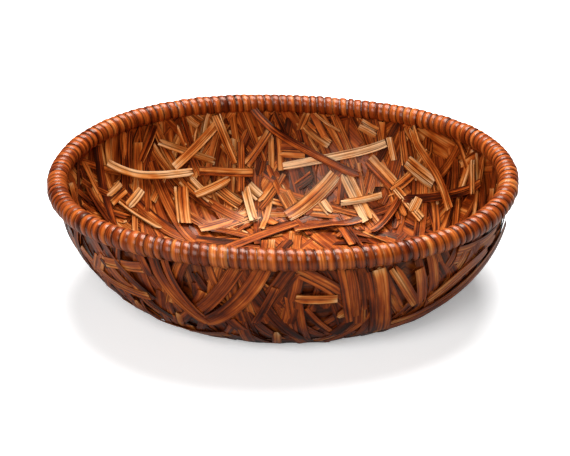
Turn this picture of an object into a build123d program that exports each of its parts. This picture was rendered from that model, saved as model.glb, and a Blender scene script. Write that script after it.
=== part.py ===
"""Winnowing basket: a shallow oval bowl of split bamboo with a cane-wrapped rim.

The wall is built in layers, as a random weave is: broad backing splints in the middle, and three
crossing families of narrow strips on each side of them. All of them run from rim to rim across
the flat bottom. At the top they are clamped between two rim hoops, a filler covers their ends,
and flat cane is wound round the lot. Nothing moves.

Frame: millimetres, origin on the floor under the centre of the rim, +X along the oval's length,
+Z up.
"""
from build123d import *
import math
import os

# Rim: an oval roll, a little out of true
RIM_HALF_LENGTH = 162.6     # to the centre line of the roll, along X
RIM_HALF_BREADTH = 132.0    # the same, along Y
RIM_HEIGHT = 88.7           # centre line of the roll above the floor
ROLL_RADIUS = 7.4           # outside the cane
BULGE = 0.013               # four soft corners in the oval, as a share of its radius
BULGE_TURN = math.radians(12)
WAVE = 2.6                  # three gentle rises and dips round the rim
WAVE_TURN = math.radians(4)

# Cane wrap
CANE_THICK = 1.1
CANE_WIDTH = 5.3
CANE_TURNS = 152
CANE_GROUPS = 8
CANE_CLEARANCE = 0.05       # between the cane and the hoops under it

# Outer face of the wall, from the edge of the flat bottom up to the rim, as a cubic curve: each
# point is a share of the rim's half length and half breadth, and a height
PROFILE = ((0.618, 0.0), (0.770, 0.0), (1.005, 42.0), (0.998, 87.0))
BASE_SHIFT = 5.4            # the bottom sits this far towards +X from the rim's centre

# Layers of the wall
STRIP_THICK = 0.4
BACKING_THICK = 1.8
BACKING_SPLINTS = 6
SPLINT_GAP = 0.6

# Places across the roll, outwards and upwards from its centre line
OUTER_HOOP_FACE = 0.25
INNER_HOOP_FACE = -5.1
FILLER_UNDERSIDE = -1.6
FILLER_GAP = 0.1            # between the filler and each hoop

LOFT_STEPS = 8              # wall sections from the bottom to the rim
OUTLINE_POINTS = 20         # points round each outline
ARC_STEPS = 6               # lofted sections round each hoop

CORE_RADIUS = ROLL_RADIUS - CANE_THICK - CANE_CLEARANCE

# For each family of strips, from the face of the wall inwards: its direction in degrees, then each
# strip's place across the basket, its width, and its own turn off the family's direction
OUTER_FAMILIES = (
    (62, ((-108, 14, 1.5), (-66, 18, -1.5), (-24, 12, 1.0), (20, 17, -1.0), (64, 13, 2.0), (106, 16, -1.0))),
    (-58, ((-112, 12, -2.0), (-69, 16, 1.5), (-23, 19, -1.0), (22, 13, 1.5), (65, 18, -2.0), (109, 12, 1.0))),
    (4, ((-98, 13, 1.0), (-60, 15, -1.5), (-20, 17, 1.5), (19, 12, -1.0), (58, 18, 1.0), (96, 12, -1.5))),
)
INNER_FAMILIES = (
    (33, ((-104, 15, -1.0), (-63, 11, 1.5), (-21, 16, -1.5), (21, 13, 1.0), (62, 17, -1.0), (103, 12, 1.5))),
    (-29, ((-102, 12, 1.0), (-61, 17, -1.0), (-22, 12, 1.5), (20, 18, -1.5), (61, 12, 1.0), (101, 15, -1.0))),
    (88, ((-128, 13, 1.0), (-78, 16, -1.5), (-27, 12, 1.0), (25, 17, -1.0), (76, 13, 1.5), (126, 15, -1.0))),
)


def oval(half_length, half_breadth, height, rise):
    """Closed outline of the basket. Rise is 0 on the true bottom and 1 at the rim."""
    shift = BASE_SHIFT * (1 - rise)
    points = []
    for i in range(OUTLINE_POINTS):
        angle = 2 * math.pi * i / OUTLINE_POINTS
        size = 1 - BULGE * rise * math.cos(4 * (angle - BULGE_TURN))
        wave = WAVE * rise * math.cos(3 * (angle - WAVE_TURN))
        points.append((half_length * size * math.cos(angle) + shift, half_breadth * size * math.sin(angle),
                       height + wave))
    return Edge.make_spline(points, periodic=True)


def blend(weights, column):
    return sum(weight * point[column] for weight, point in zip(weights, PROFILE))


def wall_outline(step, depth):
    """Outline at a step up the wall (0 bottom, 1 rim), at a depth in from its outer face."""
    rest = 1 - step
    weights = (rest ** 3, 3 * step * rest ** 2, 3 * step ** 2 * rest, step ** 3)
    slopes = (-3 * rest ** 2, 3 * rest * (1 - 3 * step), 3 * step * (2 - 3 * step), 3 * step ** 2)
    mean_radius = math.sqrt(RIM_HALF_LENGTH * RIM_HALF_BREADTH)
    outwards, upwards = blend(slopes, 0) * mean_radius, blend(slopes, 1)
    slope_length = math.hypot(outwards, upwards)
    inset = depth * upwards / slope_length
    height = blend(weights, 1) + depth * outwards / slope_length
    share = blend(weights, 0)
    rise = 0 if step == 0 else min(height / (RIM_HEIGHT - ROLL_RADIUS), 1)
    return Wire(oval(share * RIM_HALF_LENGTH - inset, share * RIM_HALF_BREADTH - inset, height, rise))


def wall_layer(depth, thick):
    """One whole layer of the bowl: two lofted skins, closed under the bottom and along the rim."""
    steps = [i / LOFT_STEPS for i in range(LOFT_STEPS + 1)]
    outside = [wall_outline(step, depth) for step in steps]
    inside = [wall_outline(step, depth + thick) for step in steps]
    faces = [Face(outside[0]), Face(inside[0])]
    faces += Shell.make_loft(outside).faces()
    faces += Shell.make_loft(inside).faces()
    faces += Shell.make_loft([outside[-1], inside[-1]], ruled=True).faces()
    return Solid(Shell(faces))


def slab(direction, place, width):
    """Upright slab across the basket. Its length runs in a direction, given in degrees."""
    return Rot(0, 0, direction) * Pos(0, place, 0) * Box(4 * RIM_HALF_LENGTH, width, 4 * RIM_HEIGHT)


RIM_PATH = oval(RIM_HALF_LENGTH, RIM_HALF_BREADTH, RIM_HEIGHT, 1)


def rim_plane(share):
    """Plane across the rim at a share of its length: X points out of the basket and Y up."""
    along = RIM_PATH.tangent_at(share)
    return Plane(RIM_PATH.position_at(share), x_dir=along.cross(Vector(0, 0, 1)), z_dir=-along)


def rim_wire(outwards, upwards):
    """Closed line round the rim, at a place out from and above the roll's centre line."""
    points = []
    for i in range(OUTLINE_POINTS):
        place = RIM_PATH.position_at(i / OUTLINE_POINTS)
        out = RIM_PATH.tangent_at(i / OUTLINE_POINTS).cross(Vector(0, 0, 1)).normalized()
        points.append(place + out * outwards + Vector(0, 0, upwards))
    return Wire(Edge.make_spline(points, periodic=True))


def rim_ring(*runs):
    """Ring round the rim. Each run of places across the roll makes one skin, and they close up."""
    wires = {place: rim_wire(*place) for run in runs for place in run}
    faces = []
    for run in runs:
        faces += Shell.make_loft([wires[place] for place in run], ruled=len(run) == 2).faces()
    return Solid(Shell(faces))


def arc(start, end):
    """Places on the round of the core, between two angles in radians from outwards."""
    turns = [start + (end - start) * i / ARC_STEPS for i in range(ARC_STEPS + 1)]
    return [(CORE_RADIUS * math.cos(turn), CORE_RADIUS * math.sin(turn)) for turn in turns]


def cane_turn(share):
    """One turn of the flat cane, square across the rim. It is open below, where the wall passes."""
    wall_width = OUTER_HOOP_FACE - INNER_HOOP_FACE
    wall_middle = (OUTER_HOOP_FACE + INNER_HOOP_FACE) / 2
    outline = Circle(ROLL_RADIUS) - Circle(ROLL_RADIUS - CANE_THICK)
    outline -= Pos(wall_middle, -ROLL_RADIUS) * Rectangle(wall_width, ROLL_RADIUS)
    return extrude(rim_plane(share) * outline, CANE_WIDTH / 2, both=True)


def save(shape, node):
    export_step(shape, f"parts/{node}.step")
    print(node, len(shape.solids()), round(shape.volume))


def make_rim():
    """Two hoops, one each side of the wall, the filler between them, and the cane round all.

    The inner hoop is a thin split, so it is planed flat on each side instead of left round.
    """
    outer = math.acos(OUTER_HOOP_FACE / CORE_RADIUS)
    inner = math.acos(INNER_HOOP_FACE / CORE_RADIUS)
    outer_round = arc(-outer, outer)
    inner_corners = arc(inner, 2 * math.pi - inner)[::2]
    save(rim_ring(outer_round, (outer_round[-1], outer_round[0])), "rim_hoop_outer")
    save(rim_ring(*zip(inner_corners, inner_corners[1:] + inner_corners[:1])), "rim_hoop_inner")
    right, left = OUTER_HOOP_FACE - FILLER_GAP, INNER_HOOP_FACE + FILLER_GAP
    top = arc(math.acos(right / CORE_RADIUS), math.acos(left / CORE_RADIUS))
    low_left, low_right = (left, FILLER_UNDERSIDE), (right, FILLER_UNDERSIDE)
    save(rim_ring(top, (top[-1], low_left), (low_left, low_right), (low_right, top[0])), "rim_filler")
    for group in range(CANE_GROUPS):
        first, last = (edge * CANE_TURNS // CANE_GROUPS for edge in (group, group + 1))
        turns = [cane_turn((turn + 0.5) / CANE_TURNS) for turn in range(first, last)]
        save(Compound(turns), f"rim_cane_{group + 1}")


def make_backing(depth):
    """Broad splints side by side, lengthwise along the basket."""
    whole = wall_layer(depth, BACKING_THICK)
    pitch = 2 * RIM_HALF_BREADTH / BACKING_SPLINTS
    for i in range(BACKING_SPLINTS):
        place = (i - (BACKING_SPLINTS - 1) / 2) * pitch
        save(whole & slab(0, place, pitch - SPLINT_GAP), f"backing_splint_{i + 1}")


def make_strips(side, depth, families):
    """Three crossing families of narrow strips, each in a layer of its own."""
    for letter, (direction, strips) in zip("abc", families):
        whole = wall_layer(depth, STRIP_THICK)
        for i, (place, width, turn) in enumerate(strips):
            save(whole & slab(direction + turn, place, width), f"{side}_strip_{letter}{i + 1}")
        depth += STRIP_THICK


os.makedirs("parts", exist_ok=True)
backing_depth = len(OUTER_FAMILIES) * STRIP_THICK
make_strips("outer", 0, OUTER_FAMILIES)
make_backing(backing_depth)
make_strips("inner", backing_depth + BACKING_THICK, INNER_FAMILIES)
make_rim()
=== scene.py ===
# %% [markdown]
# # A winnowing basket of split bamboo
# The basket is a shallow oval bowl. Broad splints of bamboo back the wall, two random weaves of
# narrow split strips cover it inside and out, and flat cane binds the rim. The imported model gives
# the frame: its hoops and filler stay as they are, and every woven part is made again here, in
# metres, in the same place.

# %% Load the frame
import bpy
import math
import random
import numpy as np
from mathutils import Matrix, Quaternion, Vector


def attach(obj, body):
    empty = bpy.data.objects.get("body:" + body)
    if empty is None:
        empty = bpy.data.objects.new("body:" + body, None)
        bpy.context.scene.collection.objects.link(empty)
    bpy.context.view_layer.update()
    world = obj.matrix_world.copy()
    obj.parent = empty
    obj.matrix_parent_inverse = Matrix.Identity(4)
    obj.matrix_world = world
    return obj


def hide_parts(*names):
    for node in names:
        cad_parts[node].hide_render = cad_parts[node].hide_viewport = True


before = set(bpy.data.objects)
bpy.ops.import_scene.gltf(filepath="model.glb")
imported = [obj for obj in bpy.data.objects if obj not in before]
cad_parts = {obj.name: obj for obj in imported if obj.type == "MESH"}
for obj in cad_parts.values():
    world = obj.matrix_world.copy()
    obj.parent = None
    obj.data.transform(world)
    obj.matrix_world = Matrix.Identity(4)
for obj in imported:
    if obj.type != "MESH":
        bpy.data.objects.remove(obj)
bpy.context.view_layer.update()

# %% [markdown]
# ## The bowl as a map
# A strip of bamboo is straight until something bends it, so the weave is easiest to lay out on a
# flat chart and then press into the bowl. The chart is the bowl opened out: its middle is the
# middle of the bottom, and a distance on it is the distance along the wall. The side profile is
# the cubic curve that the bowl was designed with.

# %% Sizes of the bowl
MM = 0.001
RIM_HALF_LENGTH, RIM_HALF_BREADTH, RIM_HEIGHT = 162.6 * MM, 132.0 * MM, 88.7 * MM
ROLL_RADIUS = 7.4 * MM
MEAN_RADIUS = math.sqrt(RIM_HALF_LENGTH * RIM_HALF_BREADTH)
PROFILE = np.array(((0.618, 0.0), (0.770, 0.0), (1.005, 42.0 * MM), (0.998, 87.0 * MM)))
BASE_SHIFT = 5.4 * MM
BULGE, BULGE_TURN = 0.013, math.radians(12)
WAVE, WAVE_TURN = 2.6 * MM, math.radians(4)

steps = np.linspace(0, 1, 81)[:, None]
cubic = np.hstack(((1 - steps) ** 3, 3 * steps * (1 - steps) ** 2, 3 * steps ** 2 * (1 - steps), steps ** 3))
wall_shares, wall_heights = (cubic @ PROFILE).T
wall_slopes = np.gradient(np.stack((wall_shares * MEAN_RADIUS, wall_heights)), axis=1)
wall_slopes /= np.linalg.norm(wall_slopes, axis=0)
wall_runs = np.hypot(np.diff(wall_shares * MEAN_RADIUS), np.diff(wall_heights))
BASE_REACH = PROFILE[0, 0] * MEAN_RADIUS
wall_reach = BASE_REACH + np.concatenate(([0], np.cumsum(wall_runs)))
RIM_REACH = wall_reach[-1]
print("from the middle to the rim along the wall", round(RIM_REACH, 4))


# %% Press the chart into the bowl
def chart_reach(x, y):
    """Distance from the middle of the bottom, measured along the wall."""
    return np.hypot(x / RIM_HALF_LENGTH, y / RIM_HALF_BREADTH) * MEAN_RADIUS


def on_bowl(x, y, inside):
    """Points of the bowl at chart places, a distance in from its outer face."""
    reach = chart_reach(x, y)
    angle = np.arctan2(y / RIM_HALF_BREADTH, x / RIM_HALF_LENGTH)
    on_wall = reach > BASE_REACH
    share = np.where(on_wall, np.interp(reach, wall_reach, wall_shares), reach / MEAN_RADIUS)
    beyond = np.maximum(reach - RIM_REACH, 0)
    out = np.where(on_wall, np.interp(reach, wall_reach, wall_slopes[0]), 1.0)
    up = np.where(on_wall, np.interp(reach, wall_reach, wall_slopes[1]), 0.0)
    height = np.where(on_wall, np.interp(reach, wall_reach, wall_heights), 0.0) + inside * out + beyond
    rise = np.clip(height / (RIM_HEIGHT - ROLL_RADIUS), 0, 1) * on_wall
    size = 1 - BULGE * rise * np.cos(4 * (angle - BULGE_TURN))
    wave = WAVE * rise * np.cos(3 * (angle - WAVE_TURN))
    inset = inside * up
    return np.stack(((share * RIM_HALF_LENGTH * size - inset) * np.cos(angle) + BASE_SHIFT * (1 - rise),
                     (share * RIM_HALF_BREADTH * size - inset) * np.sin(angle), height + wave), axis=-1)


def unit(vectors):
    return vectors / np.maximum(np.linalg.norm(vectors, axis=-1, keepdims=True), 1e-12)


def into_bowl(x, y):
    """Unit normals of the wall that point into the bowl."""
    near = 0.5 * MM
    along_x = on_bowl(x + near, y, 0) - on_bowl(x - near, y, 0)
    along_y = on_bowl(x, y + near, 0) - on_bowl(x, y - near, 0)
    return unit(np.cross(along_x, along_y))


# %% [markdown]
# ## One tree for everything that is split and flat
# Strips, broad splints and rim cane are all the same kind of thing: a flat section that follows a
# line. Curve to Mesh could sweep a profile, but it turns the section as it likes. Here the line
# carries what the maker's hands decide at each point: which way is across, which way is out, how
# wide and how thick. The tree sweeps a bare profile and then sets every point from those values,
# with ridges of fibre raised by a noise that is long along the strip and short across it.

# %% Small helpers for node trees
def new_node(tree, kind, values=None, **settings):
    """Add a node. Settings are its properties and values are its input sockets."""
    node = tree.nodes.new(kind)
    for name, value in settings.items():
        setattr(node, name, value)
    for socket, value in (values or {}).items():
        if isinstance(value, bpy.types.NodeSocket):
            tree.links.new(value, node.inputs[socket])
        else:
            node.inputs[socket].default_value = value
    return node


def math_node(tree, operation, *operands):
    return new_node(tree, "ShaderNodeMath", dict(enumerate(operands)), operation=operation).outputs[0]


def vector_node(tree, operation, *operands, scale=None):
    values = dict(enumerate(operands))
    if scale is not None:
        values["Scale"] = scale
    return new_node(tree, "ShaderNodeVectorMath", values, operation=operation).outputs[0]


def named(tree, name, kind="FLOAT"):
    return new_node(tree, "GeometryNodeInputNamedAttribute", {"Name": name}, data_type=kind).outputs[0]


def store(tree, geometry, name, value, kind="FLOAT"):
    values = {"Geometry": geometry, "Name": name, "Value": value}
    return new_node(tree, "GeometryNodeStoreNamedAttribute", values, data_type=kind).outputs[0]


# %% The flat section
def flat_section(tree, top_count, low_count):
    """A closed line: over the top from one edge to the other, and back underneath."""
    side_of = new_node(tree, "ShaderNodeSeparateXYZ",
                       {0: new_node(tree, "GeometryNodeInputPosition").outputs[0]}).outputs[0]
    runs = []
    for start, end, count, lift in (((-1, 0, 0), (1, 0, 0), top_count, 1.0),
                                    ((1, -1, 0), (-1, -1, 0), low_count, 0.0)):
        run = new_node(tree, "GeometryNodeCurvePrimitiveLine", {"Start": start, "End": end}).outputs[0]
        run = new_node(tree, "GeometryNodeResampleCurve", {"Curve": run, "Count": count}).outputs[0]
        runs.append(store(tree, store(tree, run, "side", side_of), "lift", lift))
    both = new_node(tree, "GeometryNodeJoinGeometry")
    for run in reversed(runs):
        tree.links.new(run, both.inputs[0])
    # One closed line through the points of both, in the order that they were joined
    dots = new_node(tree, "GeometryNodeCurveToPoints", {"Curve": both.outputs[0]},
                    mode="EVALUATED").outputs[0]
    section = new_node(tree, "GeometryNodePointsToCurves", {"Points": dots}).outputs[0]
    return new_node(tree, "GeometryNodeSetSplineCyclic", {"Geometry": section, "Cyclic": True}).outputs[0]


# %% The tree for split strips
GRAIN_ALONG = 18.0           # scale of the ridge noise along the strip, much less than across it
SHARP_TURN = 0.6             # radians between faces: a sharper edge than this isn't smoothed


def strip_tree():
    """Sweep a flat section along lines that carry their own frame, width and thickness."""
    tree = bpy.data.node_groups.new("flat_split_strip", "GeometryNodeTree")
    tree.is_modifier = True
    face = tree.interface
    face.new_socket("Geometry", in_out="INPUT", socket_type="NodeSocketGeometry")
    for name, default in (("Section points", 5), ("Underside points", 2), ("Seed", 1)):
        face.new_socket(name, in_out="INPUT", socket_type="NodeSocketInt").default_value = default
    for name, default in (("Crown", 0.25), ("Ridge height", 0.0001), ("Ridges across", 700.0)):
        face.new_socket(name, in_out="INPUT", socket_type="NodeSocketFloat").default_value = default
    face.new_socket("Material", in_out="INPUT", socket_type="NodeSocketMaterial")
    face.new_socket("Geometry", in_out="OUTPUT", socket_type="NodeSocketGeometry")
    given = new_node(tree, "NodeGroupInput").outputs

    section = flat_section(tree, given["Section points"], given["Underside points"])
    lines = new_node(tree, "GeometryNodeMeshToCurve", {"Mesh": given["Geometry"]}).outputs[0]
    swept = new_node(tree, "GeometryNodeCurveToMesh",
                     {"Curve": lines, "Profile Curve": section, "Fill Caps": True}).outputs[0]

    side, lift = named(tree, "side"), named(tree, "lift")
    grain, half_width = named(tree, "grain", "FLOAT_VECTOR"), named(tree, "half_width")
    parts = new_node(tree, "ShaderNodeSeparateXYZ", {0: grain}).outputs
    off_middle = math_node(tree, "MULTIPLY", side, half_width)
    fibre_place = new_node(tree, "ShaderNodeCombineXYZ", {
        0: math_node(tree, "MULTIPLY", parts[0], GRAIN_ALONG),
        1: math_node(tree, "MULTIPLY", math_node(tree, "ADD", off_middle, parts[1]), given["Ridges across"]),
        2: math_node(tree, "ADD", parts[2], given["Seed"])}).outputs[0]
    fibres = new_node(tree, "ShaderNodeTexNoise", {"Vector": fibre_place, "Scale": 1.0,
                                                   "Detail": 2.0}).outputs[0]
    ridge = math_node(tree, "MULTIPLY", math_node(tree, "SUBTRACT", fibres, 0.5), given["Ridge height"])
    edge = math_node(tree, "MULTIPLY", side, side)
    crowned = math_node(tree, "SUBTRACT", 1.0, math_node(tree, "MULTIPLY", edge, given["Crown"]))
    thick = math_node(tree, "MULTIPLY", named(tree, "thickness"), crowned)
    height = math_node(tree, "MULTIPLY", lift, math_node(tree, "ADD", thick, ridge))
    height = math_node(tree, "ADD", height, math_node(tree, "MULTIPLY", edge, named(tree, "curl")))
    offset_across = vector_node(tree, "SCALE", named(tree, "across", "FLOAT_VECTOR"), scale=off_middle)
    offset_out = vector_node(tree, "SCALE", named(tree, "out", "FLOAT_VECTOR"), scale=height)
    place = vector_node(tree, "ADD", named(tree, "middle", "FLOAT_VECTOR"),
                        vector_node(tree, "ADD", offset_across, offset_out))
    shaped = new_node(tree, "GeometryNodeSetPosition", {"Geometry": swept, "Position": place}).outputs[0]
    fibre_at = new_node(tree, "ShaderNodeCombineXYZ", {
        0: parts[0], 1: math_node(tree, "ADD", off_middle, parts[1]), 2: parts[2]}).outputs[0]
    shaped = store(tree, shaped, "fibre_at", fibre_at, "FLOAT_VECTOR")
    # How near each point is to the strip's edge: 0 in the middle of its face, 1 at its sides and below
    from_face = math_node(tree, "SUBTRACT", 1.0, lift)
    rim_of_face = math_node(tree, "MAXIMUM", math_node(tree, "ABSOLUTE", side), from_face)
    # The fibre effect darkens the sides and underside by this value, as painted shade
    shaped = store(tree, shaped, "edge", rim_of_face)
    # The knife leaves sharp sides, so only edges that turn a little are smooth
    turn = new_node(tree, "GeometryNodeInputMeshEdgeAngle").outputs["Unsigned Angle"]
    gentle = math_node(tree, "LESS_THAN", turn, SHARP_TURN)
    shaped = new_node(tree, "GeometryNodeSetShadeSmooth", {"Geometry": shaped, "Shade Smooth": gentle},
                      domain="EDGE").outputs[0]
    real = new_node(tree, "GeometryNodeRealizeInstances", {"Geometry": shaped}).outputs[0]
    done = new_node(tree, "GeometryNodeSetMaterial",
                    {"Geometry": real, "Material": given["Material"]}).outputs[0]
    new_node(tree, "NodeGroupOutput", {0: done})
    return tree


STRIP_TREE = strip_tree()
print("strip tree has", len(STRIP_TREE.nodes), "nodes")


# %% Lines into strips
SQUASH = 0.8 * MM            # strips this near the floor give way to it, and keep their order


def sweep_strips(name, lines, material, floor=None, **inputs):
    """Make one mesh of many flat strips. Each line is a dictionary of arrays, one value a point."""
    carrier = bpy.data.meshes.new(name + "_lines")
    middles = np.concatenate([line["middle"] for line in lines])
    edges, start = [], 0
    for line in lines:
        count = len(line["middle"])
        edges += [(start + i, start + i + 1) for i in range(count - 1)]
        start += count
    carrier.from_pydata(middles.tolist(), edges, [])
    for key, kind in (("middle", "FLOAT_VECTOR"), ("across", "FLOAT_VECTOR"), ("out", "FLOAT_VECTOR"),
                      ("grain", "FLOAT_VECTOR"), ("half_width", "FLOAT"), ("thickness", "FLOAT"),
                      ("curl", "FLOAT"), ("tone", "FLOAT")):
        values = np.concatenate([line[key] for line in lines]).astype(np.float32)
        field = "vector" if kind == "FLOAT_VECTOR" else "value"
        carrier.attributes.new(key, kind, "POINT").data.foreach_set(field, values.ravel())
    maker = bpy.data.objects.new(name + "_maker", carrier)
    bpy.context.scene.collection.objects.link(maker)
    modifier = maker.modifiers.new("Strips", "NODES")
    modifier.node_group = STRIP_TREE
    sockets = {s.name: s.identifier for s in STRIP_TREE.interface.items_tree if s.in_out == "INPUT"}
    for label, value in {"Material": material, **inputs}.items():
        modifier[sockets[label]] = value
    evaluated = maker.evaluated_get(bpy.context.evaluated_depsgraph_get())
    mesh = bpy.data.meshes.new_from_object(evaluated)
    bpy.data.objects.remove(maker)
    if floor is not None:
        places = np.empty(3 * len(mesh.vertices), np.float32)
        mesh.vertices.foreach_get("co", places)
        above = places[2::3] - floor
        squashed = SQUASH * np.exp(np.minimum(above / SQUASH, 1) - 1)
        places[2::3] = floor + np.where(above < SQUASH, squashed, above)
        mesh.vertices.foreach_set("co", places)
    for spare in ("middle", "across", "out", "half_width", "thickness", "curl", "side", "lift", "grain"):
        if spare in mesh.attributes:
            mesh.attributes.remove(mesh.attributes[spare])
    piece = bpy.data.objects.new(name, mesh)
    bpy.context.scene.collection.objects.link(piece)
    mesh.name = name
    print(name, len(lines), "strips,", len(mesh.polygons), "faces")
    return piece

# %% [markdown]
# ## Lacquered bamboo
# All the bamboo was lacquered together, so one fibre effect serves every finish. Each strip has a
# tone of its own: 0 is the dark red-brown of a strip that took the stain, 1 is bare straw. Fine
# dark lines run along it, blotches of stain lie across them, and bare fibre shines pale where the
# lacquer has worn. The group gives only the colour and masks. The lacquer's gloss stays in each
# material.

# %% The fibre effect
# Tone and colour, from a strip that took all the stain to bare straw
TONES = ((0.0, (0.020, 0.002, 0.001)), (0.18, (0.085, 0.009, 0.001)), (0.38, (0.255, 0.040, 0.004)),
         (0.56, (0.460, 0.105, 0.014)), (0.74, (0.600, 0.225, 0.055)), (1.0, (0.720, 0.430, 0.220)))


def spread_noise(group, place, scales, **values):
    """Noise with a scale of its own along the strip, across it and from strip to strip."""
    at = vector_node(group, "MULTIPLY", place, scales)
    return new_node(group, "ShaderNodeTexNoise", {"Vector": at, "Scale": 1.0, **values}).outputs[0]


def either_way(group, value, amount):
    """Turn a mask round 0.5 into a change up or down."""
    return math_node(group, "MULTIPLY", math_node(group, "SUBTRACT", value, 0.5), amount)


def fibre_effect():
    group = bpy.data.node_groups.new("bamboo_fibre", "ShaderNodeTree")
    face = group.interface
    for name, default in (("Streaks", 0.6), ("Wear", 0.3), ("Edge shade from", 0.7), ("Crack", 0.3)):
        face.new_socket(name, in_out="INPUT", socket_type="NodeSocketFloat").default_value = default
    face.new_socket("Color", in_out="OUTPUT", socket_type="NodeSocketColor")
    for name in ("Roughness", "Height"):
        face.new_socket(name, in_out="OUTPUT", socket_type="NodeSocketFloat")
    given = new_node(group, "NodeGroupInput").outputs
    shade = new_node(group, "ShaderNodeAttribute", attribute_name="tone").outputs["Fac"]
    at = new_node(group, "ShaderNodeAttribute", attribute_name="fibre_at").outputs["Vector"]
    streak = spread_noise(group, at, (10.0, 850.0, 1.0), Detail=3.0, Roughness=0.65)
    stain = spread_noise(group, at, (22.0, 260.0, 1.0), Detail=2.0)
    worn = spread_noise(group, at, (45.0, 90.0, 1.0), Detail=4.0)
    for mask, amount in ((streak, given["Streaks"]), (stain, 1.0), (worn, given["Wear"])):
        shade = math_node(group, "ADD", shade, either_way(group, mask, amount))
    ramp = new_node(group, "ShaderNodeValToRGB", {0: shade})
    for index, (place, colour) in enumerate(TONES):
        stop = ramp.color_ramp.elements[index] if index < 2 else ramp.color_ramp.elements.new(place)
        stop.position, stop.color = place, (*colour, 1)
    cracks = new_node(group, "ShaderNodeMapRange", {
        "Value": streak, "From Min": 0.36, "From Max": 0.55,
        "To Min": given["Crack"], "To Max": 1.0}).outputs[0]
    # Painted shade: the sides and underside of each strip are darkened, as shade in the gaps between them
    edge = new_node(group, "ShaderNodeAttribute", attribute_name="edge").outputs["Fac"]
    edge_shade = new_node(group, "ShaderNodeMapRange", {
        "Value": edge, "From Min": given["Edge shade from"], "From Max": 1.0,
        "To Min": 1.0, "To Max": 0.45}).outputs[0]
    dark = math_node(group, "MULTIPLY", cracks, edge_shade)
    grey = new_node(group, "ShaderNodeCombineColor", {0: dark, 1: dark, 2: dark}).outputs[0]
    lined = new_node(group, "ShaderNodeMix", data_type="RGBA", blend_type="MULTIPLY")
    lined.inputs["Factor"].default_value = 1.0
    group.links.new(ramp.outputs[0], lined.inputs[6])
    group.links.new(grey, lined.inputs[7])
    rough = new_node(group, "ShaderNodeMapRange", {
        "Value": worn, "From Min": 0.3, "From Max": 0.7, "To Min": 0.30, "To Max": 0.58}).outputs[0]
    new_node(group, "NodeGroupOutput", {0: lined.outputs[2], 1: rough, 2: streak})
    return group


FIBRE = fibre_effect()
print("fibre effect has", len(FIBRE.nodes), "nodes")

# %% Kinds of bamboo
RIDGE_BUMP = 0.0004          # metres of relief that the finest fibres seem to have


def bamboo(name, base_values, coat, coat_roughness, bump):
    """Lacquered bamboo: the fibre effect with a shine of its own."""
    material = bpy.data.materials.new(name)
    material.use_nodes = True
    tree = material.node_tree
    shader = tree.nodes["Principled BSDF"]
    effect = new_node(tree, "ShaderNodeGroup", node_tree=FIBRE)
    for socket, value in base_values.items():
        effect.inputs[socket].default_value = value
    raised = new_node(tree, "ShaderNodeBump", {"Strength": bump, "Distance": RIDGE_BUMP,
                                               "Height": effect.outputs["Height"]}).outputs[0]
    tree.links.new(effect.outputs["Color"], shader.inputs["Base Color"])
    tree.links.new(effect.outputs["Roughness"], shader.inputs["Roughness"])
    tree.links.new(raised, shader.inputs["Normal"])
    shader.inputs["Coat Weight"].default_value = coat
    shader.inputs["Coat Roughness"].default_value = coat_roughness
    shader.inputs["Specular IOR Level"].default_value = 0.3
    # The stain is in the lacquer too, so what it reflects and lets through is warm
    shader.inputs["Specular Tint"].default_value = (1.0, 0.55, 0.32, 1)
    shader.inputs["Coat Tint"].default_value = (1.0, 0.82, 0.62, 1)
    return material


INSIDE_BAMBOO = bamboo(
    "bamboo_inside_split", {"Streaks": 0.9, "Wear": 0.85, "Crack": 0.2},
    coat=0.10, coat_roughness=0.25, bump=0.8)
OUTSIDE_BAMBOO = bamboo(
    "bamboo_outside_split", {"Streaks": 0.6, "Wear": 0.8, "Crack": 0.4},
    coat=0.12, coat_roughness=0.2, bump=0.6)
BACKING_BAMBOO = bamboo(
    "bamboo_broad_splint", {"Streaks": 0.4, "Wear": 0.7, "Edge shade from": 0.9, "Crack": 0.5},
    coat=0.22, coat_roughness=0.25, bump=0.25)
CANE = bamboo(
    "glossy_flat_cane", {"Streaks": 0.45, "Wear": 0.5, "Edge shade from": 0.35, "Crack": 0.6},
    coat=0.32, coat_roughness=0.22, bump=0.3)


def hoop_bamboo():
    """Dark bamboo for the hoops and the filler, which have no strip lines of their own."""
    material = bpy.data.materials.new("dark_hoop_bamboo")
    material.use_nodes = True
    tree = material.node_tree
    shader = tree.nodes["Principled BSDF"]
    place = new_node(tree, "ShaderNodeTexCoord").outputs["Object"]
    blotches = new_node(tree, "ShaderNodeTexNoise", {"Vector": place, "Scale": 90.0,
                                                     "Detail": 3.0}).outputs[0]
    ramp = new_node(tree, "ShaderNodeValToRGB", {0: blotches})
    ramp.color_ramp.elements[0].color = (0.020, 0.002, 0.001, 1)
    ramp.color_ramp.elements[1].color = (0.160, 0.026, 0.004, 1)
    tree.links.new(ramp.outputs[0], shader.inputs["Base Color"])
    shader.inputs["Roughness"].default_value = 0.45
    return material


HOOP_BAMBOO = hoop_bamboo()
print("materials", [material.name for material in bpy.data.materials])

# %% [markdown]
# ## From a route to slices of bamboo
# A split strip often comes away from the knife as two or three slivers, so a strip here may be
# made as slices side by side, each with its own ends, its own slight step in height and a little
# fanning out at its tips. A strip's route is given on the chart, and its height above the wall is
# worked out later, where it crosses the others.

# %% Routes
STEP_ALONG = 4.4 * MM
SPRING_LENGTH = 14 * MM      # how far from a crossing a strip bends


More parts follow.
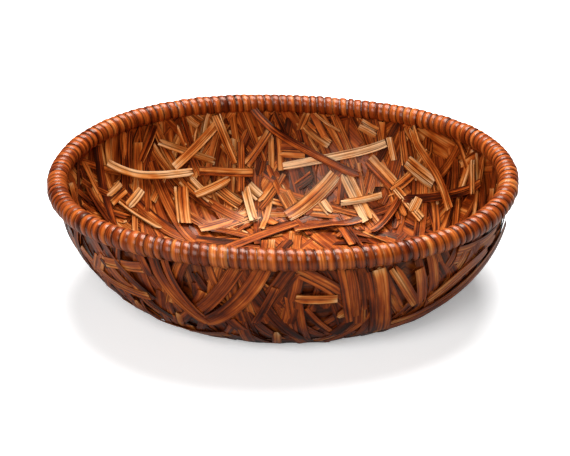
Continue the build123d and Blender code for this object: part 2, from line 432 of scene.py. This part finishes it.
class Strip:
    """A strip's route on the chart, its width, tone and wish for height above the wall."""
    def __init__(self, places, width, tone, wish=0.0, free=0.0, slices=None, hero=False):
        places = np.array(places, float) * MM
        if len(places) > 2:
            places = smooth_route(places)
        runs = np.concatenate(([0], np.cumsum(np.linalg.norm(np.diff(places, axis=0), axis=1))))
        count = max(4, int(runs[-1] / STEP_ALONG) + 1)
        at = np.linspace(0, runs[-1], count)
        self.x, self.y = (np.interp(at, runs, places[:, k]) for k in (0, 1))
        self.along = np.concatenate(([0], np.cumsum(np.hypot(np.diff(self.x), np.diff(self.y)))))
        self.width, self.tone, self.wish, self.free = width * MM, tone, wish * MM, free * MM
        self.slices, self.hero = slices, hero
        self.height = np.full(count, self.wish)


def smooth_route(places, rounds=3):
    """Round the corners of a route by cutting them."""
    for _ in range(rounds):
        quarter = 0.75 * places[:-1] + 0.25 * places[1:]
        three = 0.25 * places[:-1] + 0.75 * places[1:]
        cut = np.stack((quarter, three), axis=1).reshape(-1, 2)
        places = np.concatenate((places[:1], cut, places[-1:]))
    return places


# %% Where strips cross
def crossings(strips):
    """Every place where two routes cross, as (strip, point, other strip, its point)."""
    found = []
    boxes = [(s.x.min(), s.x.max(), s.y.min(), s.y.max()) for s in strips]
    for i, one in enumerate(strips):
        ax, ay = one.x[:-1, None], one.y[:-1, None]
        adx, ady = np.diff(one.x)[:, None], np.diff(one.y)[:, None]
        for j in range(i + 1, len(strips)):
            if (boxes[i][1] < boxes[j][0] or boxes[j][1] < boxes[i][0]
                    or boxes[i][3] < boxes[j][2] or boxes[j][3] < boxes[i][2]):
                continue
            two = strips[j]
            bx, by = two.x[None, :-1], two.y[None, :-1]
            bdx, bdy = np.diff(two.x)[None, :], np.diff(two.y)[None, :]
            cross = adx * bdy - ady * bdx
            cross = np.where(np.abs(cross) < 1e-14, 1e-14, cross)
            t = ((bx - ax) * bdy - (by - ay) * bdx) / cross
            u = ((bx - ax) * ady - (by - ay) * adx) / cross
            for a, b in np.argwhere((t >= 0) & (t <= 1) & (u >= 0) & (u <= 1)):
                found.append((i, int(a), j, int(b)))
    return found


# %% Settle them over and under each other
LAYER_GAP, ROUNDS = 0.55 * MM, 45
STIFFNESS, PULL_BACK = 0.25, 0.03        # how fast a strip straightens, and returns to its wish


def settle(strips, seed):
    """Let the strips push each other up or down where they cross, and stay smooth between."""
    chance = random.Random(seed)
    meetings = []
    for i, a, j, b in crossings(strips):
        lead = (strips[i].wish - strips[j].wish) / MM
        over = chance.random() < 1 / (1 + math.exp(-2.2 * lead))
        meetings.append((i, a, j, b, 1 if over else -1))
    reach = int(SPRING_LENGTH / STEP_ALONG)
    bump = 0.5 + 0.5 * np.cos(np.linspace(-math.pi, math.pi, 2 * reach + 3)[1:-1])
    for _ in range(ROUNDS):
        for i, a, j, b, sign in meetings:
            one, two = strips[i], strips[j]
            short = LAYER_GAP - sign * (one.height[a] - two.height[b])
            if short > 0:
                for strip, at, push in ((one, a, sign * short / 2), (two, b, -sign * short / 2)):
                    first, last = max(at - reach, 0), min(at + reach + 1, len(strip.height))
                    strip.height[first:last] += push * bump[first - at + reach:last - at + reach]
        for strip in strips:
            h = strip.height
            h[1:-1] += STIFFNESS * (h[:-2] - 2 * h[1:-1] + h[2:])
            h += PULL_BACK * (strip.wish - h)
            np.maximum(h, 0.0, out=h)
    print(len(strips), "strips cross", len(meetings), "times")


# %% Lay a strip on the wall
TUCK_REACH = 16 * MM         # strips lie down over this distance below the rim
ROLL = 5                     # degrees that a strip may lean to either side
TRIMMED_ABOVE = 2 * MM       # a broad splint's sides may pass the rim by this much


def lie_down(strip, chance, inward, depth, most_height):
    """The strip's line on the bowl: its height, middle, and the ways across it and out of it."""
    x, y = strip.x, strip.y
    height = strip.height.copy()
    if strip.free:
        # The share comes first: rounded past a half turn, the sine would be below 0 and have no power
        share = strip.along / strip.along[-1]
        height += strip.free * np.sin(math.pi * share) ** 0.7
    tuck = np.clip((RIM_REACH - chart_reach(x, y)) / TUCK_REACH, 0, 1)
    height = np.minimum(height, most_height) * (0.15 + 0.85 * tuck)
    middle = on_bowl(x, y, depth + inward * height)
    out = into_bowl(x, y) * inward
    forward = unit(np.gradient(middle, axis=0))
    out = unit(out - forward * np.sum(out * forward, axis=1, keepdims=True))
    across = np.cross(forward, out)
    roll = math.radians(chance.uniform(-ROLL, ROLL))
    across, out = (across * math.cos(roll) + out * math.sin(roll),
                   out * math.cos(roll) - across * math.sin(roll))
    return height, middle, across, out


def curl_and_trim(strip, middle, out, face_depth):
    """How far a broad splint's edges curl with the bowl, and how narrow the rim makes it."""
    x, y, half = strip.x, strip.y, strip.width / 2
    dx, dy = np.gradient(x), np.gradient(y)
    span = np.hypot(dx, dy)
    side_x, side_y = dy / span * half, -dx / span * half
    # At the rim it is trimmed aslant, so that no corner stands above the binding
    trim = np.ones(len(x))
    for share in (0.8, 0.6, 0.4, 0.2, 0.05):
        wider = np.maximum(chart_reach(x + side_x * (share + 0.2), y + side_y * (share + 0.2)),
                           chart_reach(x - side_x * (share + 0.2), y - side_y * (share + 0.2)))
        trim[wider > RIM_REACH + TRIMMED_ABOVE] = share
    edges = []
    for way in (1, -1):
        probe = on_bowl(x + way * side_x, y + way * side_y, face_depth) - middle
        reach = np.linalg.norm(probe, axis=1)
        edges.append(np.sum(probe * out, axis=1) * (half / np.maximum(reach, 1e-6)) ** 2)
    return (edges[0] + edges[1]) / 2, trim


# %% Cut it into slices
BROAD = 10 * MM              # strips this wide or wider often fall into more slices
SPLIT_ABOVE = 5.5 * MM       # a placed strip wider than this is split in two
END_TAPER = 4 * MM
PAST_RIM = 3 * MM            # the side of a strip may pass the rim by this much
# How much painted shade and light a strip's height gives its tone, inside and outside
HEIGHT_SHADE_INSIDE, HEIGHT_SHADE_OUTSIDE = 0.18, 0.10


def slice_lines(strip, index, chance, inward, depth, thickness, most_height, curled=False):
    """Slices of one strip, as lines for the tree. Inward is 1 on the inside of the bowl, -1 outside."""
    height, middle, across, out = lie_down(strip, chance, inward, depth, most_height)
    # Painted shade and light: a strip is darkened where it lies low and lightened where it lies high
    height_shade = 0 if curled or strip.hero else HEIGHT_SHADE_INSIDE if inward > 0 else HEIGHT_SHADE_OUTSIDE
    tone = strip.tone + height_shade * np.clip(height / (3 * MM) - 0.6, -1, 0.4)
    curl = np.zeros(len(height))
    if curled:
        curl, trim = curl_and_trim(strip, middle, out, depth + inward * height)
    wanted = strip.slices or chance.choice((1, 1, 2) if strip.width < BROAD else (1, 2, 2, 3))
    knife, ragged = (0.01 * MM, 3 * MM) if strip.hero else (0.12 * MM, 7 * MM)
    if strip.hero and strip.width > SPLIT_ABOVE:
        wanted = 2
    cuts = sorted(chance.uniform(0.15, 0.85) for _ in range(wanted - 1))
    lines, start = [], -0.5
    for share in np.diff([0, *cuts, 1]):
        centre = (start + share / 2) * strip.width
        half_width = max(share * strip.width / 2 - knife, 0.4 * MM)
        start += share
        first = chance.uniform(0, ragged) if wanted > 1 else 0
        last = strip.along[-1] - (chance.uniform(0, ragged) if wanted > 1 else 0)
        keep = (strip.along >= first) & (strip.along <= last)
        if not curled:
            keep &= chart_reach(strip.x, strip.y) < RIM_REACH + PAST_RIM - strip.width / 2
        if keep.sum() < 4:
            continue
        # A strip that dips past the rim and comes back stays in one length
        kept = np.flatnonzero(keep)
        keep[kept[0]:kept[-1] + 1] = True
        place = strip.along[keep]
        from_end = np.minimum(place - place[0], place[-1] - place)
        point_first, point_last = (chance.choice((0.35, 0.8, 0.9, 1.0)) for _ in range(2))
        taper = np.minimum(np.interp(place - place[0], (0, END_TAPER), (point_first, 1)),
                           np.interp(place[-1] - place, (0, END_TAPER), (point_last, 1)))
        if curled:
            taper = trim[keep]
        # The tips of slices fan out, lie at their own heights, and may show raw wood
        fan = chance.uniform(-0.6, 0.6) * MM * np.exp(-from_end / (8 * MM)) * (wanted > 1)
        step = chance.uniform(-0.12, 0.12) * MM
        raw = 0 if curled else chance.choice((0, 0.05, 0.25)) * np.exp(-from_end / (4 * MM))
        count = len(place)
        lines.append({
            "middle": middle[keep] + across[keep] * (centre + fan)[:, None] + out[keep] * step,
            "across": across[keep], "out": out[keep], "half_width": half_width * taper,
            "thickness": np.full(count, thickness * chance.uniform(0.8, 1.25)),
            "curl": curl[keep] * (taper ** 2 if curled else 1),
            "tone": tone[keep] + chance.uniform(-0.07, 0.07) + raw,
            "grain": np.stack((place, np.full(count, centre),
                               np.full(count, index * 1.37 + chance.random())), 1)})
    return lines

# %% [markdown]
# ## The backing
# The bowl keeps grain in, so behind the random weave there is a closed wall: thin broad splints in
# three directions. They are so wide that they curl with the bowl. Their faces are smooth, and they
# show wherever the narrow strips leave a window.

# %% Broad splints
SPLINT_WIDTH, SPLINT_PITCH = 35, 31      # millimetres on the chart
CHART_EDGE = 260                         # millimetres, well outside the rim
# Painted shade: the outermost layer, which shows through the gaps of the weave outside, has the darkest tone
LAYERS = ((0, 0.22), (62, 0.28), (-58, 0.38))        # direction in degrees, and darkest tone
chance = random.Random(11)


def chord(direction, offset):
    """A straight route right across the chart, from rim to rim."""
    along = np.array((math.cos(direction), math.sin(direction)))
    across = np.array((-along[1], along[0]))
    at = np.linspace(-CHART_EDGE, CHART_EDGE, 1041)[:, None] * along + offset * across
    inside = chart_reach(at[:, 0] * MM, at[:, 1] * MM) < RIM_REACH
    return at[inside][[0, -1]] if inside.sum() > 20 else None


backing_lines = []
for layer, (direction, darkest) in enumerate(LAYERS):
    for number in range(-7, 8):
        turned = math.radians(direction + chance.uniform(-3, 3))
        route = chord(turned, number * SPLINT_PITCH + chance.uniform(-2, 2))
        if route is None:
            continue
        splint = Strip(route, SPLINT_WIDTH, chance.uniform(0.0, 0.12) + darkest, slices=1)
        depth = (1.35 + 0.5 * layer + 0.22 * (number % 2)) * MM
        backing_lines += slice_lines(splint, number + 20 * layer, chance, 1, depth, 0.4 * MM, 0, curled=True)
backing = sweep_strips("bamboo_backing", backing_lines, BACKING_BAMBOO, floor=0.6 * MM, **{
    "Section points": 7, "Underside points": 7, "Crown": 0.1,
    "Ridge height": 0.05 * MM, "Ridges across": 250.0})

# %% [markdown]
# ## The weave inside
# The strips that catch the eye are placed one by one: pale ones that missed the stain, dark ones
# that spring out of the rim, and a knot of strips that meet at a star. The rest are a random
# scatter. Each has a wish for how high it lies, and where two cross, the wishes say which goes
# over. `settle` then bends them round each other, as the maker's fingers would.

# %% Strips that catch the eye, inside
# Each: route on the chart in millimetres, width, tone, wish for height, how far it stands free
INSIDE_STRIPS = (
    (((-180, 80), (-143, 90), (-112, 105), (-83, 119)), 6.5, 0.80, 5.0, 1.0),
    (((-86, 118), (-60, 124), (-26, 128)), 7.0, 0.46, 6.4, 1.0),
    (((-6, 134), (40, 140), (112, 136)), 7.0, 0.90, 5.5, 2.0),
    (((-64, 196), (-6, 164), (34, 143), (74, 116)), 6.5, 0.34, 8.5, 4.5),
    (((24, 190), (42, 172), (66, 156)), 2.2, 0.78, 5.0, 1.0),
    (((-4, 88), (50, 128)), 12.0, 0.82, 3.6, 0.0),
    (((55, 129), (68, 74)), 11.0, 0.78, 4.2, 0.0),
    (((42, 100), (90, 97)), 6.0, 0.84, 5.2, 0.4),
    (((141, 140), (150, 98), (153, 75), (146, 44)), 7.5, 0.50, 6.0, 5.0),
    (((118, 118), (141, 80)), 12.0, 0.76, 4.0, 0.5),
    (((-96, 106), (-84, 67)), 12.0, 0.58, 4.0, 0.0),
    (((-38, 120), (-26, 78)), 7.5, 0.76, 4.6, 0.5),
    (((-82, 178), (-44, 130)), 7.0, 0.50, 5.4, 1.2),
    (((-40, 130), (-10, 168)), 6.5, 0.60, 5.6, 1.0),
    (((-44, 156), (-40, 106)), 6.0, 0.46, 6.0, 1.0),
    (((-84, 96), (-48, 122)), 7.0, 0.62, 5.4, 1.0),
    (((-38, 120), (-20, 106)), 9.0, 0.80, 3.2, 0.0),
    (((-132, 127), (-96, 131), (-62, 131)), 6.0, 0.80, 3.8, 0.8),
    (((-66, 168), (-108, 111)), 7.5, 0.54, 4.6, 0.5),
    (((-112, 160), (-84, 154)), 11.0, 0.70, 2.4, 0.0),
    (((-136, 142), (-140, 100)), 7.0, 0.42, 3.6, 0.5),
    (((82, 162), (104, 144)), 10.0, 0.68, 3.0, 0.0),
    (((22, 170), (50, 146)), 9.0, 0.60, 3.2, 0.0),
    (((80, 134), (100, 99)), 12.0, 0.55, 3.4, 0.0),
    (((98, 103), (116, 58)), 7.0, 0.68, 3.8, 0.5),
    (((100, 89), (148, 66), (196, 32)), 7.5, 0.24, 4.4, 0.5),
    (((200, 64), (172, 36)), 9.0, 0.45, 4.0, 0.5),
    (((130, 142), (115, 108)), 6.0, 0.62, 3.4, 0.5),
    (((113, 144), (106, 116)), 6.0, 0.60, 3.4, 0.5),
    (((161, 114), (158, 97)), 8.0, 0.64, 3.0, 0.0),
    (((29, 129), (6, 116)), 8.0, 0.34, 3.0, 0.0),
    (((-8, 149), (26, 147)), 13.0, 0.60, 2.6, 0.0),
    (((103, 70), (122, 84)), 10.0, 0.78, 3.2, 0.0),
    (((28, 108), (38, 88)), 8.0, 0.80, 3.0, 0.0),
    (((-4, 118), (8, 92)), 12.0, 0.66, 2.8, 0.0),
    (((-64, 112), (-36, 98)), 10.0, 0.70, 3.0, 0.0),
    (((-92, 112), (-62, 98)), 8.0, 0.72, 3.4, 0.0),
    (((-146, 80), (-160, 52)), 12.0, 0.72, 3.0, 0.0),
    (((-128, 88), (-140, 58)), 8.0, 0.78, 3.4, 0.0),
    (((-104, 60), (-150, 62)), 5.0, 0.70, 3.4, 0.5),
    (((0, 66), (70, 84)), 7.0, 0.30, 4.0, 0.5),
    (((62, 60), (104, 92)), 7.0, 0.34, 4.4, 0.5),
)
print(len(INSIDE_STRIPS), "strips placed by hand inside")


# %% A random scatter of strips
def scatter(count, seed, lengths, widths, tones, wishes, bare_middle=0.0):
    """Strips thrown on the chart. Near the rim they lean towards it, as the ends are tucked there."""
    chance = random.Random(seed)
    strips = []
    for _ in range(count):
        angle, share = chance.uniform(0, 2 * math.pi), math.sqrt(chance.random())
        reach = share * RIM_REACH / MEAN_RADIUS / MM
        x, y = reach * RIM_HALF_LENGTH * math.cos(angle), reach * RIM_HALF_BREADTH * math.sin(angle)
        lean = 0.85 if share > 0.6 else 1.6
        turn = angle + chance.uniform(-lean, lean)
        half = chance.uniform(*lengths) / 2
        width = chance.uniform(*widths)
        if share < 0.5:
            if chance.random() < bare_middle:
                continue
            width += 2.5
        bow = chance.gauss(0, 0.05) * half
        dx, dy = half * math.cos(turn), half * math.sin(turn)
        route = [(x - dx, y - dy), (x - bow * math.sin(turn), y + bow * math.cos(turn)), (x + dx, y + dy)]
        room = (RIM_REACH + 4 * MM) / MM / MEAN_RADIUS
        kept = []
        for px, py in route:
            over = math.hypot(px / RIM_HALF_LENGTH, py / RIM_HALF_BREADTH) / room
            kept.append((px / max(over, 1), py / max(over, 1)))
        tone = min(max(chance.triangular(*tones), 0.05), 0.95)
        strips.append(Strip(kept, width, tone, chance.triangular(*wishes)))
    return strips


# %% Weave the inside
def weave(name, placed, scattered, material, inward, depth, most_height, seed, **inputs):
    """Settle the strips of one side, slice them and sweep them into one piece."""
    strips = [Strip(*values[:3], wish=values[3], free=values[4], hero=True) for values in placed] + scattered
    settle(strips, seed)
    chance = random.Random(seed + 1)
    lines = []
    for index, strip in enumerate(strips):
        top = most_height(strip) if callable(most_height) else most_height
        thickness = 0.55 * MM if strip.hero else 0.45 * MM
        lines += slice_lines(strip, index, chance, inward, depth, thickness, top)
    return sweep_strips(name, lines, material, **inputs)


inside_scatter = scatter(count=430, seed=5, lengths=(40, 125), widths=(5, 11),
                         tones=(0.12, 0.74, 0.42), wishes=(0, 3.4, 0.8), bare_middle=0.55)
inner_weave = weave(
    "inner_random_weave", INSIDE_STRIPS, inside_scatter, INSIDE_BAMBOO,
    inward=1, depth=3.1 * MM, most_height=12 * MM, seed=21, **{
        "Section points": 6, "Crown": 0.18, "Ridge height": 0.28 * MM, "Ridges across": 600.0, "Seed": 3})

# %% [markdown]
# ## The weave outside
# Outside, the strips lie closer and are given darker tones, and a little more gloss. A few
# broad ones cross the front, and one long one runs round the right-hand flank and stands clear of
# the wall. Under the bottom they have to lie flat, because the basket stands on them.

# %% Strips that catch the eye, outside
OUTSIDE_STRIPS = (
    (((-12, -182), (-62, -116)), 12.0, 0.30, 3.2, 0.6),
    (((-34, -182), (-68, -126)), 10.0, 0.34, 3.0, 0.5),
    (((82, -170), (72, -135), (62, -96)), 15.0, 0.36, 3.4, 0.8),
    (((51, -178), (45, -124)), 6.0, 0.40, 3.0, 0.5),
    (((59, -174), (50, -128)), 6.0, 0.36, 3.0, 0.5),
    (((66, -172), (57, -132)), 5.0, 0.42, 3.0, 0.5),
    (((95, -160), (98, -110)), 8.0, 0.50, 3.0, 0.8),
    (((116, -146), (99, -108)), 8.0, 0.46, 3.2, 0.8),
    (((196, -48), (160, -74), (120, -90), (66, -106)), 13.0, 0.42, 4.2, 0.6),
    (((-116, -156), (-84, -134), (-54, -118)), 8.0, 0.36, 3.2, 0.6),
    (((-104, -160), (-78, -138), (-58, -124)), 6.0, 0.34, 3.0, 0.5),
    (((4, -158), (46, -152)), 7.0, 0.42, 3.0, 0.3),
    (((102, -110), (140, -106), (172, -84)), 9.0, 0.42, 3.2, 0.8),
    (((144, -124), (186, -74)), 14.0, 0.50, 2.4, 0.0),
    (((0, -182), (36, -166), (48, -150)), 10.0, 0.34, 2.6, 0.0),
    (((-150, -110), (-112, -142)), 9.0, 0.48, 2.6, 0.0),
    (((-176, -84), (-130, -96), (-100, -120)), 8.0, 0.44, 3.0, 0.6),
)
print(len(OUTSIDE_STRIPS), "strips placed by hand outside")

# %% Weave the outside
outside_scatter = scatter(count=480, seed=8, lengths=(40, 105), widths=(5, 12),
                          tones=(0.06, 0.58, 0.30), wishes=(0, 2.6, 0.8))


def outside_room(strip):
    """How far a strip may stand out: hardly at all under the bottom, more up the wall."""
    climbed = np.maximum(chart_reach(strip.x, strip.y) - BASE_REACH, 0)
    return np.clip(0.4 * MM + 0.07 * climbed, 0, 3.6 * MM)


outer_weave = weave(
    "outer_random_weave", OUTSIDE_STRIPS, outside_scatter, OUTSIDE_BAMBOO,
    inward=-1, depth=1.1 * MM, most_height=outside_room, seed=34, floor=0.0, **{
        "Section points": 6, "Crown": 0.2, "Ridge height": 0.24 * MM, "Ridges across": 520.0, "Seed": 9})

# %% [markdown]
# ## The rim binding
# One long length of flat cane is wound round hoops and filler, edge to edge. It is the same flat
# section as a strip, on a line that winds round the rim, and it advances about one width each
# turn. No two turns are alike: each lies a little higher or lower, wider or narrower, and nearer
# to or farther from the next, and here and there a thin turn leaves a gap.

# %% Wind the cane
CANE_TURNS, TURN_POINTS = 152, 22
CANE_THICK = 1.1 * MM
THIN_TURNS = (9, 17, 29, 52, 66, 83, 101, 128, 134, 141)
THIN_SHARE = 0.62            # of the pitch


def rim_centre(angle):
    size = 1 - BULGE * np.cos(4 * (angle - BULGE_TURN))
    return np.stack((RIM_HALF_LENGTH * size * np.cos(angle), RIM_HALF_BREADTH * size * np.sin(angle),
                     RIM_HEIGHT + WAVE * np.cos(3 * (angle - WAVE_TURN))), axis=-1)


def cane_line(seed):
    """The cane's line round the rim, with each turn's own place, width and height."""
    chance = np.random.default_rng(seed)
    around = np.linspace(0, 2 * math.pi, 2881)
    runs = np.linalg.norm(np.diff(rim_centre(around), axis=0), axis=1)
    run = np.concatenate(([0], np.cumsum(runs)))
    pitch = run[-1] / CANE_TURNS
    turn = np.linspace(0, CANE_TURNS, CANE_TURNS * TURN_POINTS + 1)

    def wander(size):
        values = chance.normal(0, size, CANE_TURNS + 1)
        values[-1] = values[0]
        return np.interp(turn, np.arange(CANE_TURNS + 1), values)

    along = turn * pitch + wander(0.28 * MM)
    angle = np.interp(along % run[-1], run, around)
    centre = rim_centre(angle)
    forward = unit(rim_centre(angle + 0.001) - rim_centre(angle - 0.001))
    outwards = unit(np.cross(forward, (0, 0, 1)))
    upwards = np.cross(outwards, forward)
    spin = -2 * math.pi * turn
    out = outwards * np.cos(spin)[:, None] + upwards * np.sin(spin)[:, None]
    under = ROLL_RADIUS - CANE_THICK + wander(0.16 * MM)
    widths = chance.uniform(0.86, 1.0, CANE_TURNS + 1)
    for number in THIN_TURNS:
        widths[number] = THIN_SHARE
    width = pitch * np.interp(turn, np.arange(CANE_TURNS + 1), widths) * (1 + 0.05 * np.cos(spin))
    middle = centre + out * under[:, None]
    wound = unit(np.gradient(middle, axis=0))
    across = unit(np.cross(wound, out))
    count = len(turn)
    tone = 0.42 + np.interp(turn, np.arange(CANE_TURNS + 1), chance.normal(0, 0.06, CANE_TURNS + 1))
    return {"middle": middle, "across": across, "out": out, "half_width": width / 2 - 0.05 * MM,
            "thickness": np.full(count, CANE_THICK), "curl": np.zeros(count), "tone": tone,
            "grain": np.stack((turn * 2 * math.pi * ROLL_RADIUS, np.zeros(count), np.zeros(count)), 1)}


cane = sweep_strips("rim_cane_binding", [cane_line(4)], CANE, **{
    "Section points": 7, "Crown": 0.55, "Ridge height": 0.10 * MM, "Ridges across": 500.0, "Seed": 2})

# %% [markdown]
# ## Hand over to the frame
# Each woven piece stands for the plain layers of the imported model. The hoops and the filler keep
# their own shape under the cane, and only take a dark bamboo.

# %% Bodies and replaced nodes
ROLES = ((backing, "backing_splint_", "backing"), (inner_weave, "inner_strip_", "inner_strip"),
         (outer_weave, "outer_strip_", "outer_strip"), (cane, "rim_cane_", "cane"))
for piece, family, slot in ROLES:
    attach(piece, "root")
    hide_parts(*[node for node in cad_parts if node.startswith(family)])
    print(piece.name, "stands for the nodes of", family)
for node in ("rim_hoop_outer", "rim_hoop_inner", "rim_filler"):
    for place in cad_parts[node].material_slots:
        place.material = HOOP_BAMBOO

# %% [markdown]
# ## Studio
# A white floor that runs out of sight, one wide soft light overhead and a little behind, so that
# the cane shines along its top, and a weaker one from the front left. The camera sees the floor
# and the surround almost white, but the light that they send back to the basket is dim, so that
# the gaps of the weave stay dark and the lacquer isn't milky.

# %% Floor, surround and lights
scene = bpy.context.scene
scene.view_settings.view_transform = "Standard"
FLOOR_HALF = 6.0
FLOOR_SEEN, FLOOR_LIT, FLOOR_GLOW = 0.9, 0.35, 0.32
SURROUND_SEEN, SURROUND_LIT = 1.0, 0.07


def seen_or_lit(tree, seen, lit):
    """A value that is one thing to the camera and another to light that bounces."""
    path = new_node(tree, "ShaderNodeLightPath").outputs["Is Camera Ray"]
    span = new_node(tree, "ShaderNodeMapRange", {"Value": path, "To Min": lit, "To Max": seen})
    return span.outputs[0]


def white_floor():
    mesh = bpy.data.meshes.new("floor")
    corners = [(x * FLOOR_HALF, y * FLOOR_HALF, 0) for x, y in ((-1, -1), (1, -1), (1, 1), (-1, 1))]
    mesh.from_pydata(corners, [], [(0, 1, 2, 3)])
    floor = bpy.data.objects.new("floor", mesh)
    scene.collection.objects.link(floor)
    paint = bpy.data.materials.new("white_floor")
    paint.use_nodes = True
    tree = paint.node_tree
    shader = tree.nodes["Principled BSDF"]
    grey = seen_or_lit(tree, FLOOR_SEEN, FLOOR_LIT)
    tree.links.new(new_node(tree, "ShaderNodeCombineColor", {0: grey, 1: grey, 2: grey}).outputs[0],
                   shader.inputs["Base Color"])
    shader.inputs["Roughness"].default_value = 1.0
    shader.inputs["Specular IOR Level"].default_value = 0.0
    shader.inputs["Emission Color"].default_value = (1, 1, 1, 1)
    tree.links.new(seen_or_lit(tree, FLOOR_GLOW, 0.0), shader.inputs["Emission Strength"])
    mesh.materials.append(paint)


def soft_light(name, place, size, power):
    light = bpy.data.lights.new(name, "AREA")
    light.shape, light.size, light.energy = "DISK", size, power
    lamp = bpy.data.objects.new(name, light)
    lamp.location = place
    lamp.rotation_euler = (Vector((0, 0, 0.05)) - Vector(place)).to_track_quat("-Z", "Y").to_euler()
    scene.collection.objects.link(lamp)


white_floor()
world = bpy.data.worlds.new("bright_surround")
world.use_nodes = True
world.node_tree.links.new(seen_or_lit(world.node_tree, SURROUND_SEEN, SURROUND_LIT),
                          world.node_tree.nodes["Background"].inputs["Strength"])
world.node_tree.nodes["Background"].inputs["Color"].default_value = (1, 1, 1, 1)
scene.world = world
soft_light("overhead", (0.05, 0.35, 1.25), size=1.0, power=38)
soft_light("front_left", (-0.5, -1.3, 1.1), size=1.2, power=26)
print("lights", [light.name for light in bpy.data.lights])

# %% Camera
VIEW_DOWN, VIEW_ROLL = math.radians(25.336), math.radians(-0.481)
VIEW_DISTANCE = 1.0
camera_data = bpy.data.cameras.new("camera")
camera_data.sensor_width, camera_data.lens = 36.0, 87.7
camera_data.shift_x, camera_data.shift_y = 0.0064, -0.0976
camera = bpy.data.objects.new("camera", camera_data)
look = Vector((0, math.cos(VIEW_DOWN), -math.sin(VIEW_DOWN)))
camera.rotation_mode = "QUATERNION"
camera.rotation_quaternion = look.to_track_quat("-Z", "Y") @ Quaternion((0, 0, 1), VIEW_ROLL)
camera.location = Vector((0, 0, RIM_HEIGHT)) - look * VIEW_DISTANCE
scene.collection.objects.link(camera)
scene.camera = camera
print("camera at", [round(v, 3) for v in camera.location])
